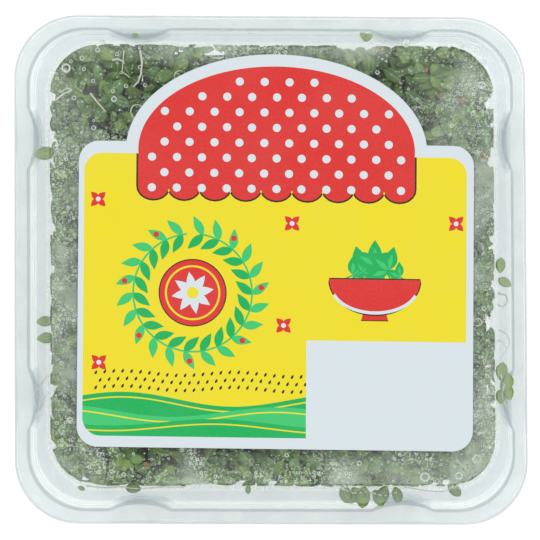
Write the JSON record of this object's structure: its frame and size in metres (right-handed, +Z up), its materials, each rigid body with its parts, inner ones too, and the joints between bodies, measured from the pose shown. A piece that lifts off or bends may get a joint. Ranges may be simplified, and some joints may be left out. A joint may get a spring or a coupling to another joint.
{
  "type": "punnet of alfalfa sprouts",
  "caption": "Living alfalfa sprouts on their root mat in a clear square punnet with a press-on lid, a printed label on the lid and mist under it.",
  "frame": {"origin": "under the middle of the tray, on the surface that it stands on", "axes": "+Z up, through the lid; +Y towards the arched top of the label; +X to the right of the label as it is read"},
  "size_m": [0.13, 0.13, 0.0485],
  "materials": {
    "clear_plastic": "clear thermoformed PET, glossy",
    "printed_paper": "coated label paper, printed yellow, green and red inside a white border",
    "roots": "felted cream roots with brown seed hulls",
    "green_leaf": "moist green seed leaves on whitish stems",
    "water": "clear water droplets under the lid"
  },
  "bodies": {
    "root": {"tray": "clear_plastic", "lid": "clear_plastic", "label": "printed_paper", "root_mat": "roots", "sprout_bunch_01": "green_leaf", "sprout_bunch_02": "green_leaf", "sprout_bunch_03": "green_leaf", "sprout_bunch_04": "green_leaf", "sprout_bunch_05": "green_leaf", "sprout_bunch_06": "green_leaf", "sprout_bunch_07": "green_leaf", "sprout_bunch_08": "green_leaf", "sprout_bunch_09": "green_leaf"}
  },
  "joints": []
}
